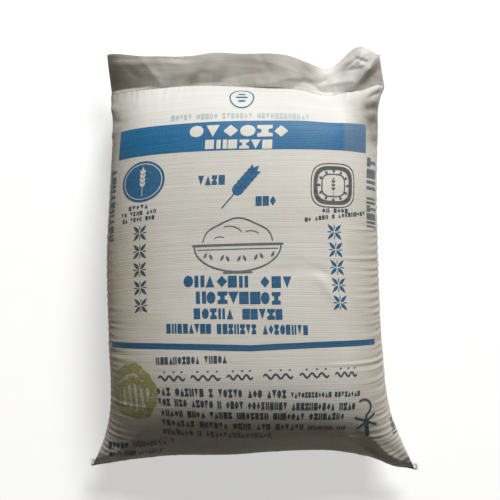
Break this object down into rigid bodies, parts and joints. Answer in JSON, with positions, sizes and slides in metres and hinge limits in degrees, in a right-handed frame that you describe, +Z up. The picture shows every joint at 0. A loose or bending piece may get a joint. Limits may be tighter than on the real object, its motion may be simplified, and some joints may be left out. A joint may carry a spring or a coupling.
{
  "type": "bag of flour",
  "caption": "Filled woven sack of flour lying on its back, printed face up, with a sewn loose lip at the mouth and two pointed corners at the foot.",
  "frame": {"origin": "middle of the bounding box, on the floor that the sack lies on", "axes": "+Z up, through the printed face; +Y towards the sewn mouth; +X to the right of someone reading the print"},
  "size_m": [0.52, 0.6764, 0.1847],
  "materials": {
    "woven_cloth": "woven white polypropylene tape, faintly glossy, printed in blue, olive and grey"
  },
  "bodies": {
    "root": {"sack": "woven_cloth"}
  },
  "joints": []
}
